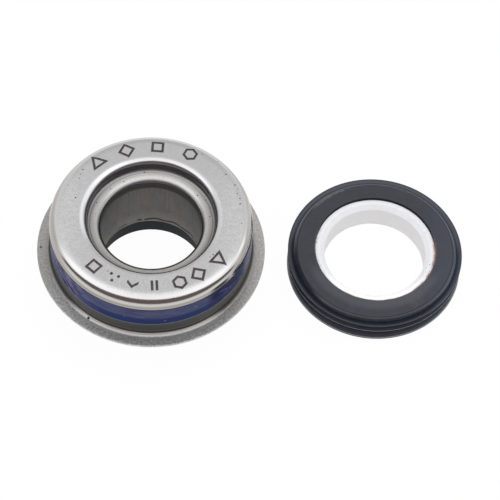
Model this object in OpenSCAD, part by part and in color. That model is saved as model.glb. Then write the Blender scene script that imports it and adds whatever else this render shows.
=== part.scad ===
// Two-part mechanical seal of a water pump: a spring-loaded cartridge and the
// rubber-cupped ceramic seat that runs against it, laid side by side.
// Millimetres. The origin is on the cartridge's axis, in the flange face that
// meets the pump housing. +Z points to the closed end of the case.

/* [Case] */
// Outer diameter of the flange
flange_d = 41; // [39.5:0.1:46]
// Diameter of the wall that is pressed into the housing
case_d = 36.2; // [35.2:0.05:37.2]
// Height of the closed end above the flange face
case_h = 10.55; // [9.5:0.05:14]
// Thickness of the drawn sheet
sheet_t = 0.5; // [0.35:0.05:0.6]
// Radius between the wall and the closed end
shoulder_r = 2.6; // [1.5:0.1:2.8]
// Radius between the wall and the flange
root_r = 0.7; // [0.4:0.05:1]
// Diameter of the ring-shaped recess in the closed end
recess_d = 22.9; // [22:0.1:24]
// Depth of the recess
recess_depth = 2.45; // [1.6:0.05:3]
// Radius on the rim of the recess
recess_rim_r = 1.3; // [0.8:0.1:1.5]
// Radius in the bottom corner of the recess
recess_corner_r = 0.3; // [0.2:0.05:0.4]
// Bore of the inner tube, which the shaft passes through
tube_bore_d = 18; // [17.4:0.1:18]
// Radius where the tube turns into the recess
tube_mouth_r = 1; // [0.7:0.1:1.1]
// How far the tube reaches below the flange face
tube_drop = 5.3; // [4.5:0.1:6]
// Height of the coined bevel inside the tube's free end
tube_bevel = 0.5; // [0.2:0.1:0.8]

/* [Sealant band] */
// Height of the band's lower edge above the flange face
band_z = 3.4; // [2:0.1:4.5]
// Height of the band
band_h = 4.95; // [3:0.05:5.5]
// Depth of the relief that holds the band
band_relief = 0.07; // [0.04:0.01:0.15]
// How far the band lies below the wall
band_below = 0.01; // [0.005:0.005:0.03]

/* [Carbon ring] */
// Height of the sealing face below the flange face, uncompressed
face_drop = 9.3; // [8.8:0.1:12]
// Running room between the tube and the carbon's bore
carbon_play = 0.3; // [0.2:0.05:0.6]
// Width of the raised sealing nose
nose_w = 3.2; // [2:0.1:3.8]
// Height of the raised nose
nose_h = 0.9; // [0.4:0.1:1.2]
// Width of the carbon's body
carbon_w = 4.6; // [4.2:0.1:5.6]
// Height of nose and body together
carbon_body_h = 3.8; // [3:0.1:4]
// Wall of the stem that the bellows grips
stem_w = 1.8; // [1.2:0.1:2.4]
// Height of the stem
stem_h = 3.2; // [2.6:0.1:3.6]

/* [Bellows] */
// Thickness of the collar on the tube
tube_collar_t = 1.3; // [1:0.05:1.5]
// Height of the collar on the tube
tube_collar_h = 4.2; // [3.6:0.1:4.4]
// Thickness of the collar on the carbon's stem
stem_collar_t = 1.1; // [0.8:0.05:1.15]
// Thickness of the folding wall
fold_t = 0.9; // [0.6:0.05:1]
// How far the fold swings to either side
fold_swing = 1.2; // [0.6:0.05:1.3]

/* [Spring and its seats] */
// Wire of the coil spring
wire_d = 1.4; // [1:0.05:1.6]
// Gap between the coil and the shell inside it
spring_gap = 0.3; // [0.2:0.05:0.4]
// All turns of the coil, with the closed one at each end
spring_turns = 5.5; // [5:0.5:6]
// Thickness of the sheet of the retainer and the drive shell
seat_t = 0.45; // [0.35:0.05:0.5]
// How far each spring seat reaches past the coil
seat_past = 0.25; // [0.1:0.05:0.4]
// How far the retainer grips down the collar
retainer_h = 3.4; // [2.4:0.1:3.6]

/* [Seat] */
// Distance between the two axes along X
seat_x = 40.6; // [38:0.1:60]
// Distance between the two axes along Y
seat_y = 5; // [0:0.1:20]
// Diameter over the ribs of the rubber cup
cup_d = 31.85; // [31:0.05:33]
// Bore of the ceramic ring
ceramic_bore_d = 18.5; // [18:0.1:19]
// Outer diameter of the ceramic ring
ceramic_d = 27; // [26:0.1:28]
// Height of the ceramic ring
ceramic_h = 5.45; // [5:0.05:7]
// Chamfer at the mouth of the ceramic bore
ceramic_chamfer = 0.85; // [0.4:0.05:1]
// Bore of the rubber lip on the ceramic's back
lip_d = 21.75; // [21:0.05:22.5]
// Thickness of the rubber on the ceramic's back
lip_t = 0.6; // [0.4:0.05:1]
// How far the ceramic stands out of the cup
ceramic_proud = 0.3; // [0.2:0.05:0.6]
// Number of ribs round the cup
rib_count = 3; // [2:1:3]
// Distance of the top rib below the ceramic's back
rib_drop = 0.55; // [0.4:0.05:0.8]
// Distance from rib to rib
rib_pitch = 1.7; // [1.5:0.05:1.75]
// Depth of the grooves between the ribs
rib_depth = 0.75; // [0.4:0.05:0.9]
// Width of each rib's flat crest
rib_crest = 0.3; // [0.2:0.05:0.4]
// Width of the band outside the rim of the cup's sloping top
rim_in = 1.65; // [1.4:0.05:1.9]
// Distance of the trough behind the top rib from the rib's crest
trough_in = 0.9; // [0.6:0.05:1.2]
// Depth of the trough below the top rib
trough_depth = 0.45; // [0.2:0.05:0.8]
// Chamfer round the cup's foot
foot_chamfer = 0.35; // [0.2:0.05:0.45]

/* [Hidden] */

$fn = 96;
arc_steps = 8;       // straight pieces in a quarter arc
touch = 0.05;        // room between parts that seat on each other
edge_break = 0.2;    // small chamfer on turned and moulded edges
coil_steps = 24;     // rings of wire in one turn
wire_sides = 10;
steel = "silver";
rubber = [0.22, 0.23, 0.26];

case_r = case_d / 2;
recess_r = recess_d / 2;
recess_z = case_h - recess_depth;
ceiling_z = recess_z - sheet_t;
tube_r = tube_bore_d / 2;
tube_out_r = tube_r + sheet_t;
mouth_c = [tube_r + tube_mouth_r, recess_z - tube_mouth_r];    // centre of the tube's mouth radius
band_top = band_z + band_h;

carbon_bore_r = tube_out_r + carbon_play;
carbon_r = carbon_bore_r + carbon_w;
stem_r = carbon_bore_r + stem_w;
stem_foot_z = -face_drop + carbon_body_h;
stem_top_z = stem_foot_z + stem_h;

tube_collar_r = tube_out_r + touch + tube_collar_t;
tube_collar_z = ceiling_z - touch - tube_collar_h;
stem_collar_in = stem_r + touch;
stem_collar_r = stem_collar_in + stem_collar_t;
stem_collar_z = stem_foot_z + touch;

retainer_in = tube_collar_r + touch;
retainer_top = ceiling_z - touch;
shell_in = stem_collar_r + touch;
shell_z = stem_foot_z + touch;
shell_top = stem_top_z - touch;
coil_r = shell_in + seat_t + spring_gap + wire_d / 2;
seat_r = coil_r + wire_d / 2 + seat_past;
coil_bottom = shell_z + seat_t + touch;
coil_top = retainer_top - seat_t - touch;

cup_r = cup_d / 2;
lip_r = lip_d / 2;
ceramic_r = ceramic_d / 2;
ceramic_bore_r = ceramic_bore_d / 2;
cup_top = ceramic_h + lip_t;
rib_top = ceramic_h - rib_drop + rib_crest / 2;
rim_r = cup_r - rim_in;

// Points of an arc about c, from angle a to angle b
function arc(c, r, a, b) = [for (i = [0:arc_steps]) let (t = a + (b - a) * i / arc_steps)
    c + r * [cos(t), sin(t)]];

// Outer radius of the case at height z, on the wall or on its shoulder
function case_side(z) = let (over = max(0, z - case_h + shoulder_r))
    case_r - shoulder_r + sqrt(shoulder_r * shoulder_r - over * over);

// The band's section runs up the wall, set in by a given depth
function band_side(depth) = [for (z = [band_z, case_h - shoulder_r, band_top])
    [case_side(min(z, band_top)) - depth, min(z, band_top)]];

module case() {
    shoulder_c = [case_r - shoulder_r, case_h - shoulder_r];
    rim_c = [recess_r + recess_rim_r, case_h - recess_rim_r];
    corner_c = [recess_r - recess_corner_r, recess_z + recess_corner_r];
    root_c = [case_r + root_r, root_r];
    outside = concat(
        [[flange_d / 2, 0]],
        arc(root_c, root_r, 270, 180),
        arc(shoulder_c, shoulder_r, 0, 90),
        arc(rim_c, recess_rim_r, 90, 180),
        arc(corner_c, recess_corner_r, 0, -90),
        arc(mouth_c, tube_mouth_r, 90, 180),
        [[tube_r, tube_bevel - tube_drop], [tube_r + sheet_t / 2, -tube_drop]]);
    inside = concat(
        [[tube_out_r, -tube_drop]],
        arc(mouth_c, tube_mouth_r - sheet_t, 180, 90),
        arc(corner_c, recess_corner_r + sheet_t, -90, 0),
        arc(rim_c, recess_rim_r - sheet_t, 180, 90),
        arc(shoulder_c, shoulder_r - sheet_t, 90, 0),
        arc(root_c, root_r + sheet_t, 180, 270),
        [[flange_d / 2, -sheet_t]]);
    color(steel) difference() {
        rotate_extrude() polygon(concat(outside, inside));
        rotate_extrude() polygon(concat(band_side(band_relief),
            [[case_r + 1, band_top], [case_r + 1, band_z]]));
    }
}

module sealant_band() {
    far = band_side(band_relief);
    color([0.18, 0.20, 0.45]) rotate_extrude()
        polygon(concat(band_side(band_below), [for (i = [len(far) - 1:-1:0]) far[i]]));
}

// Sheet ring that clamps the bellows on the tube and seats the spring
module bellows_retainer() {
    color(steel) rotate_extrude() {
        translate([retainer_in, retainer_top - retainer_h]) square([seat_t, retainer_h]);
        translate([retainer_in, retainer_top - seat_t]) square([seat_r - retainer_in, seat_t]);
    }
}

// Sheet ring that clamps the bellows on the carbon and carries the spring
module drive_shell() {
    color(steel) rotate_extrude() {
        translate([shell_in, shell_z]) square([seat_t, shell_top - shell_z]);
        translate([shell_in, shell_z]) square([seat_r - shell_in, seat_t]);
    }
}

// Folding wall: its middle line drifts outward from the upper collar to the
// lower one and swings once out and once in on the way
module rubber_bellows() {
    top = [tube_collar_r - fold_t / 2, tube_collar_z + fold_t / 2];
    foot = [stem_collar_r - fold_t / 2, stem_top_z];
    steps = 4 * arc_steps;
    function middle(t) = top + (foot - top) * t + [fold_swing * sin(360 * t) * sin(180 * t), 0];
    function across(t) = let (d = middle(t + 0.01) - middle(t - 0.01)) [-d[1], d[0]] / norm(d);
    function edge(side) = [for (i = [0:steps]) let (t = i / steps) middle(t) + side * across(t)];
    near = edge(-fold_t / 2);
    far = edge(fold_t / 2);
    color(rubber) rotate_extrude() {
        polygon(concat(
            [[tube_out_r + touch, tube_collar_z], [tube_collar_r, tube_collar_z],
             [tube_collar_r, retainer_top]],
            arc(mouth_c, tube_mouth_r - sheet_t - touch, 90, 180)));
        translate([stem_collar_in, stem_collar_z])
            square([stem_collar_t, stem_top_z + fold_t / 2 - stem_collar_z]);
        polygon(concat(near, [for (i = [steps:-1:0]) far[i]]));
    }
}

// Height of the wire's centre after a number of turns: the end turns lie
// closed against their neighbours, the others share the rest evenly
function wire_z(turn) = let (closed = wire_d + touch, low = coil_bottom + wire_d / 4,
        high = coil_top - wire_d / 4, open = (high - low - 2 * closed) / (spring_turns - 2))
    turn < 1 ? low + closed * turn
    : turn > spring_turns - 1 ? high - closed * (spring_turns - turn)
    : low + closed + open * (turn - 1);

module coil_spring() {
    rings = floor(spring_turns * coil_steps);
    points = [for (i = [0:rings], k = [0:wire_sides - 1])
        let (a = 360 * i / coil_steps, b = 360 * k / wire_sides, r = coil_r + wire_d / 2 * cos(b))
        [r * cos(a), r * sin(a), wire_z(i / coil_steps) + wire_d / 2 * sin(b)]];
    skin = [for (i = [0:rings - 1], k = [0:wire_sides - 1]) let (n = (k + 1) % wire_sides)
        [i * wire_sides + k, i * wire_sides + n, (i + 1) * wire_sides + n, (i + 1) * wire_sides + k]];
    first_end = [for (k = [wire_sides - 1:-1:0]) k];
    last_end = [for (k = [0:wire_sides - 1]) rings * wire_sides + k];
    // The ends are ground flat, as cut off by the slab between the two seats
    color(steel) intersection() {
        polyhedron(points, concat(skin, [first_end, last_end]), convexity = 10);
        translate([0, 0, coil_bottom]) cylinder(r = coil_r + wire_d, h = coil_top - coil_bottom);
    }
}

module carbon_ring() {
    bore_r = carbon_bore_r;
    nose_r = bore_r + nose_w;
    face_z = -face_drop;
    body_z = face_z + nose_h;
    color([0.20, 0.21, 0.22]) rotate_extrude() polygon([
        [bore_r + edge_break, face_z], [nose_r, face_z], [nose_r, body_z],
        [carbon_r - edge_break, body_z], [carbon_r, body_z + edge_break],
        [carbon_r, stem_foot_z - edge_break], [carbon_r - edge_break, stem_foot_z],
        [stem_r, stem_foot_z], [stem_r, stem_top_z - edge_break], [stem_r - edge_break, stem_top_z],
        [bore_r + edge_break, stem_top_z], [bore_r, stem_top_z - edge_break],
        [bore_r, face_z + edge_break]]);
}

// The seat lies on the same surface as the carbon's face
module at_seat() {
    translate([seat_x, seat_y, -face_drop]) children();
}

module ceramic_ring() {
    color("white") at_seat() rotate_extrude() polygon([
        [ceramic_bore_r, 0], [ceramic_r - edge_break, 0], [ceramic_r, edge_break],
        [ceramic_r, ceramic_h - edge_break], [ceramic_r - edge_break, ceramic_h],
        [ceramic_bore_r + ceramic_chamfer, ceramic_h], [ceramic_bore_r, ceramic_h - ceramic_chamfer]]);
}

// Rubber cup: a sleeve with rounded grooves between its ribs, and a lip that
// wraps over the ceramic's back and slopes away to the rim
module rubber_cup() {
    groove_w = rib_pitch - rib_crest;
    groove_r = (rib_depth * rib_depth + groove_w * groove_w / 4) / (2 * rib_depth);
    inner_r = ceramic_r + touch;
    color(rubber) at_seat() rotate_extrude() difference() {
        polygon([
            [inner_r, ceramic_proud], [cup_r - foot_chamfer, ceramic_proud],
            [cup_r, ceramic_proud + foot_chamfer], [cup_r, rib_top],
            [cup_r - trough_in, rib_top - trough_depth],
            [rim_r, ceramic_h], [lip_r + edge_break, cup_top], [lip_r, ceramic_h + touch],
            [inner_r, ceramic_h + touch]]);
        for (i = [0:rib_count - 2])
            translate([cup_r - rib_depth + groove_r,
                       rib_top - rib_crest / 2 - rib_pitch * (i + 0.5)]) circle(groove_r);
    }
}

case();
sealant_band();
bellows_retainer();
rubber_bellows();
coil_spring();
drive_shell();
carbon_ring();
ceramic_ring();
rubber_cup();
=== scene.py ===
import math

import bpy
from mathutils import Matrix, Vector


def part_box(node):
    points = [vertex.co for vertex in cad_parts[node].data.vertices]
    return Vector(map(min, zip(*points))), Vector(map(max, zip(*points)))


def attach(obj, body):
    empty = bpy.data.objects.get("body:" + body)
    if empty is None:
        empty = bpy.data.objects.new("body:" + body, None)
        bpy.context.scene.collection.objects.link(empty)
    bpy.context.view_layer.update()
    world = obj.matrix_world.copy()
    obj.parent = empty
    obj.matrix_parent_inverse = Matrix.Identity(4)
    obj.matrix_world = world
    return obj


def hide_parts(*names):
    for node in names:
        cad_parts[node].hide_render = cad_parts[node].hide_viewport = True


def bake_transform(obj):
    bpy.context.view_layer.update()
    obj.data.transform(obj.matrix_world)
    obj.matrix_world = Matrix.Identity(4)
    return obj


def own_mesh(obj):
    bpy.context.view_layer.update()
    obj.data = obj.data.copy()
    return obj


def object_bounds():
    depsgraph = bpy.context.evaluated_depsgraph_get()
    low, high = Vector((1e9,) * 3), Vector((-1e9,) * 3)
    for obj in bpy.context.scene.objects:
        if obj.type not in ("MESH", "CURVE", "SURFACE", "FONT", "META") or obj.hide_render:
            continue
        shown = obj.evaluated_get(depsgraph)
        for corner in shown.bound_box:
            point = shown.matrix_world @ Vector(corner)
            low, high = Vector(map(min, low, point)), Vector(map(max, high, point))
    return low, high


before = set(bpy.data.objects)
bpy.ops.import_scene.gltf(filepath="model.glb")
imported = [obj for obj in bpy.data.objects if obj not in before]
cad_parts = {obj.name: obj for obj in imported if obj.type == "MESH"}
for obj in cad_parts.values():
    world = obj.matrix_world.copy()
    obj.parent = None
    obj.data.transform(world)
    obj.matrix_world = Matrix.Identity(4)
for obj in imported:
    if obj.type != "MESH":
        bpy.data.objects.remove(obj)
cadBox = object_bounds()
scene = bpy.context.scene
perMetre = 1000.0     # the script is in millimetres, the scene in metres


def extent(node):
    # outer radius, foot and top of a round node, in millimetres
    lo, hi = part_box(node)
    return (hi.x - lo.x) / 2 * perMetre, lo.z * perMetre, hi.z * perMetre


def middle(node):
    # where a round node's axis stands, in millimetres
    lo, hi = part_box(node)
    return (lo.x + hi.x) / 2 * perMetre, (lo.y + hi.y) / 2 * perMetre


# shader wiring

class Wire:
    # a shader socket that takes part in sums: each operator adds its Math node
    def __init__(self, board, socket):
        self.board = board
        self.socket = socket

    def calc(self, operation, *values):
        return self.board.add("ShaderNodeMath", {"operation": operation},
                              dict(enumerate(values)))

    def __add__(self, other):
        return self.calc("ADD", self, other)

    def __radd__(self, other):
        return self.calc("ADD", other, self)

    def __sub__(self, other):
        return self.calc("SUBTRACT", self, other)

    def __rsub__(self, other):
        return self.calc("SUBTRACT", other, self)

    def __mul__(self, other):
        return self.calc("MULTIPLY", self, other)

    def __rmul__(self, other):
        return self.calc("MULTIPLY", other, self)

    def __truediv__(self, other):
        return self.calc("DIVIDE", self, other)

    def __rtruediv__(self, other):
        return self.calc("DIVIDE", other, self)

    def __abs__(self):
        return self.calc("ABSOLUTE", self)

    def least(self, other):
        return self.calc("MINIMUM", self, other)

    def most(self, other):
        return self.calc("MAXIMUM", self, other)

    def rise(self, start, end):
        # 0 before start, 1 after end, smooth between; start may be the larger
        return self.board.add("ShaderNodeMapRange", {"interpolation_type": "SMOOTHSTEP"},
                              {0: self, 1: start, 2: end, 3: 0.0, 4: 1.0})

    def within(self, low, high, soft):
        # 1 between low and high, fading out over soft to either side
        return self.rise(low - soft, low + soft) * self.rise(high + soft, high - soft)


class Board:
    # the node tree of one material or of the world
    def __init__(self, tree):
        self.tree = tree
        tree.nodes.clear()

    def add(self, kind, settings=None, sockets=None, out=0):
        node = self.tree.nodes.new(kind)
        for name, value in (settings or {}).items():
            setattr(node, name, value)
        for key, value in (sockets or {}).items():
            if isinstance(value, Wire):
                self.tree.links.new(value.socket, node.inputs[key])
            else:
                node.inputs[key].default_value = value
        if isinstance(out, tuple):
            return [Wire(self, node.outputs[o]) for o in out]
        return Wire(self, node.outputs[out]) if len(node.outputs) else node

    def blend(self, factor, first, second):
        return self.add("ShaderNodeMix", {"data_type": "RGBA"},
                        {0: factor, 6: first, 7: second}, 2)

    def place(self):
        # position on the object in millimetres
        spot = self.add("ShaderNodeTexCoord", out=3)
        return self.add("ShaderNodeVectorMath", {"operation": "SCALE"}, {0: spot, 3: perMetre})

    def shift(self, vector, x, y, z):
        return self.add("ShaderNodeVectorMath", {"operation": "SUBTRACT"},
                        {0: vector, 1: (x, y, z)})

    def split(self, vector):
        return self.add("ShaderNodeSeparateXYZ", sockets={0: vector}, out=(0, 1, 2))

    def join(self, x, y, z):
        return self.add("ShaderNodeCombineXYZ", sockets={0: x, 1: y, 2: z})

    def dot(self, vector, x, y, z):
        return self.add("ShaderNodeVectorMath", {"operation": "DOT_PRODUCT"},
                        {0: vector, 1: (x, y, z)}, 1)

    def distance(self, vector, x, y, z):
        return self.add("ShaderNodeVectorMath", {"operation": "DISTANCE"},
                        {0: vector, 1: (x, y, z)}, 1)

    def noise(self, vector, scale, detail=2.0, rough=0.5):
        return self.add("ShaderNodeTexNoise", {"noise_dimensions": "3D"},
                        {"Vector": vector, "Scale": scale, "Detail": detail, "Roughness": rough})

    def bump(self, height, depth, under=None):
        # depth in millimetres for a height of 1
        sockets = {"Strength": 1.0, "Distance": depth / perMetre, "Height": height}
        if under:
            sockets["Normal"] = under
        return self.add("ShaderNodeBump", None, sockets)

    def finish(self, **sockets):
        # the Principled shader and the material's output
        names = {"colour": "Base Color", "metal": "Metallic", "rough": "Roughness",
                 "normal": "Normal", "ior": "IOR", "specular": "Specular IOR Level",
                 "coat": "Coat Weight", "coatRough": "Coat Roughness", "coatIor": "Coat IOR",
                 "subsurface": "Subsurface Weight", "scatter": "Subsurface Scale"}
        skin = self.add("ShaderNodeBsdfPrincipled", None,
                        {names[key]: value for key, value in sockets.items()})
        self.add("ShaderNodeOutputMaterial", None, {"Surface": skin})


def newMaterial(name):
    material = bpy.data.materials.new(name)
    material.use_nodes = True
    return material, Board(material.node_tree)


def shade(red, green, blue):
    # a colour as it reads in a picture, 0 to 255, made linear
    def linear(value):
        value /= 255
        return value / 12.92 if value <= 0.04045 else ((value + 0.055) / 1.055) ** 2.4
    return linear(red), linear(green), linear(blue), 1.0


# mesh making

def rounded(corners, steps=10):
    # closed section: each corner is (distance from the axis, height, fillet)
    outline = []
    for i, (r, z, fillet) in enumerate(corners):
        here = Vector((r, z))
        back = Vector(corners[i - 1][:2]) - here
        ahead = Vector(corners[(i + 1) % len(corners)][:2]) - here
        half = back.angle(ahead) / 2
        if fillet <= 0 or half > 1.56:      # sharp, or too flat to round
            outline.append((r, z))
            continue
        reach = fillet / math.tan(half)
        if fillet < 0.25:       # a small fillet gives way where a side is short
            reach = min(reach, 0.499 * min(back.length, ahead.length))
        fillet = reach * math.tan(half)
        back.normalize()
        ahead.normalize()
        centre = here + (back + ahead).normalized() * fillet / math.sin(half)
        first = here + back * reach - centre
        last = here + ahead * reach - centre
        start = math.atan2(first.y, first.x)
        turn = (math.atan2(last.y, last.x) - start + math.pi) % (2 * math.pi) - math.pi
        count = max(2, math.ceil(abs(turn) / (math.pi / 2) * steps))
        # a point just off each end of the arc keeps the flats beside it evenly lit
        spare = fillet * 0.06 if fillet > 0.2 else 0.0
        if spare:
            outline.append(tuple(here + back * (reach + spare)))
        for k in range(count + 1):
            angle = start + turn * k / count
            outline.append((centre.x + fillet * math.cos(angle),
                            centre.y + fillet * math.sin(angle)))
        if spare:
            outline.append(tuple(here + ahead * (reach + spare)))
    return outline


def makeObject(name, verts, faces, sharp=30):
    mesh = bpy.data.meshes.new(name)
    mesh.from_pydata([tuple(value / perMetre for value in vert) for vert in verts], [], faces)
    mesh.shade_smooth()
    mesh.set_sharp_from_angle(angle=math.radians(sharp))
    piece = bpy.data.objects.new(name, mesh)
    scene.collection.objects.link(piece)
    return piece


def turned(name, outline, centre=(0.0, 0.0), steps=256, warp=None, sharp=30):
    # a ring: the closed outline swept once round a vertical axis
    area = sum(a[0] * b[1] - b[0] * a[1] for a, b in zip(outline, outline[1:] + outline[:1]))
    if area < 0:
        outline = outline[::-1]
    verts, faces = [], []
    count = len(outline)
    for i in range(steps):
        angle = 2 * math.pi * i / steps
        for r, z in outline:
            if warp:
                r, z = warp(r, z, angle)
            verts.append((centre[0] + r * math.cos(angle), centre[1] + r * math.sin(angle), z))
        j = (i + 1) % steps
        for k in range(count):
            m = (k + 1) % count
            faces.append((i * count + k, j * count + k, j * count + m, i * count + m))
    return makeObject(name, verts, faces, sharp)


def settle(piece, node, body, material):
    piece.data.materials.append(material)
    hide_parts(node)
    if body:
        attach(piece, body)


# drawn steel case
caseParts = {
    "wallR": 18.1,          # pressed wall
    "sheet": 0.5,
    "shoulder": 2.6,
    "root": 0.7,
    "recessR": 11.45,
    "recessDepth": 2.45,
    "rim": 1.3,
    "corner": 0.3,
    "cornerSoft": 0.55,     # the same corner as the polish left it
    "boreR": 9.0,
    "mouth": 1.0,
    "mouthSoft": 1.2,       # the mouth's own radius, past the crown of the recess
    "mouthReach": 1.0,      # how far the mouth's arc reaches out from the bore
    "crown": 0.010,         # fall of the closed end to either side of its middle
    "crownR": 14.1,         # that middle, and half the width on which the fall is measured
    "crownHalf": 1.4,
    "dome": 6.0,            # how softly the floor of the recess starts to bend
    "bevel": 0.5,
    "bandRelief": 0.07,
    "bandFade": 0.2,        # the sealant thins to nothing this far under its upper edge
    "lipWave": 0.07,        # how unevenly the tube's cut end runs
    "lipTorn": 1.6,         # height over which the waves die out
}
caseLook = {
    "polished": (shade(217, 217, 218), shade(207, 207, 207)),
    "floor": (shade(180, 179, 178), shade(158, 154, 152)),      # of the recess
    "tube": (shade(128, 127, 124), shade(152, 151, 148)),
    "flange": (shade(164, 163, 161), shade(213, 212, 210)),
    "wall": (shade(66, 66, 66), shade(98, 97, 96)),             # below the sealant, dark as painted shade
    "pit": shade(52, 48, 46),
}
flangeR, tubeFoot, caseTop = extent("case")
_, bandFoot, bandTop = extent("sealant_band")
bandTop -= caseParts["bandFade"]

# marks pressed in the closed end: shape, sides, radius of its middle, angle, size
stampMarks = [
    ("polygon", 3, 14.85, 134.2, 0.74), ("polygon", 4, 14.66, 111.8, 0.92),
    ("square", 4, 14.80, 89.7, 0.92), ("polygon", 6, 14.95, 66.3, 1.02),
    ("square", 4, 14.53, -129.2, 0.92), ("dots", 3, 14.27, -112.7, 0.80),
    ("chevron", 2, 14.67, -98.7, 1.0), ("bars", 2, 14.51, -83.5, 1.0),
    ("polygon", 6, 14.70, -66.0, 1.02), ("polygon", 4, 14.70, -51.7, 0.92),
    ("polygon", 3, 14.80, -33.4, 0.74),
]
stampLook = {"stroke": 0.43, "depth": 0.10, "tone": shade(76, 71, 70)}

# small pits: radius, angle, height, size
casePits = [
    (13.92, 168.5, 10.55, 0.22), (15.66, 145.4, 10.55, 0.20), (15.4, 149.0, 10.55, 0.14),
    (15.04, 152.3, 10.55, 0.13), (16.04, 37.9, 10.5, 0.21), (16.34, 28.2, 10.4, 0.22),
    (16.53, 25.0, 10.35, 0.15), (16.0, 21.4, 10.5, 0.18), (16.2, 17.5, 10.45, 0.19),
    (15.98, 13.4, 10.5, 0.22), (16.1, 66.2, 10.5, 0.19), (16.11, 59.5, 10.5, 0.16),
    (16.9, 48.9, 10.2, 0.2), (16.05, -1.6, 10.5, 0.14), (13.58, -32.6, 10.55, 0.19),
    (13.42, -35.7, 10.55, 0.13), (13.8, -119.0, 10.55, 0.14), (10.94, 100.6, 8.1, 0.15),
    (10.13, 123.0, 8.1, 0.17), (10.3, 139.0, 8.05, 0.12), (10.6, 160.0, 8.1, 0.13),
    (10.2, 40.0, 8.05, 0.15), (10.9, 31.0, 8.1, 0.12), (10.5, 12.0, 8.1, 0.13),
    (19.8, -176.1, 0.0, 0.24), (18.5, -122.5, 0.1, 0.32),
    (9.05, 152.0, -2.6, 0.24), (9.05, 121.0, -1.4, 0.18), (9.05, 104.0, 0.6, 0.16),
    (9.05, 131.0, 1.8, 0.15), (9.05, 142.0, -1.2, 0.2), (9.05, 74.0, -1.0, 0.16),
    (9.05, 48.0, -2.2, 0.2), (9.05, 60.0, -2.9, 0.15),
]


def markDistance(board, u, v, shape, sides, size):
    # distance from a mark's stroke, in millimetres; u runs round the ring, v outward
    half = stampLook["stroke"] / 2
    if shape in ("polygon", "square"):
        turn = math.pi / 2 + (math.pi / sides if shape == "square" else 0)
        reach = u.calc("SQRT", u * u + v * v)
        angle = u.calc("ARCTAN2", v, u) - turn
        fold = math.pi / sides - u.calc("PINGPONG", angle, math.pi / sides)
        return abs(reach * u.calc("COSINE", fold) - size) - half
    if shape == "dots":
        best = None
        for k in range(sides):
            a = math.pi / 2 + k * 2 * math.pi / sides
            du, dv = u - size * math.cos(a), v - size * math.sin(a)
            near = u.calc("SQRT", du * du + dv * dv) - half * 1.25
            best = near if best is None else best.least(near)
        return best
    if shape == "chevron":
        bend = abs(v - 0.45 + abs(u) * 0.95) * 0.72 - half
        return bend.most(abs(u) - size)
    bars = abs(abs(u) - 0.42) - half
    return bars.most(abs(v) - size)


def stampMask(board, spot):
    mask = None
    for shape, sides, radius, degrees, size in stampMarks:
        a = math.radians(degrees)
        u = board.dot(spot, -math.sin(a), math.cos(a), 0.0)
        v = board.dot(spot, math.cos(a), math.sin(a), 0.0) - radius
        gap = markDistance(board, u, v, shape, sides, size)
        mark = gap.rise(0.07, -0.07)
        mask = mark if mask is None else mask.most(mark)
    return mask


def pitMask(board, spot, pits):
    mask = None
    for radius, degrees, height, size in pits:
        a = math.radians(degrees)
        away = board.distance(spot, radius * math.cos(a), radius * math.sin(a), height)
        pit = away.rise(size, size * 0.35)
        mask = pit if mask is None else mask.most(pit)
    return mask


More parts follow.
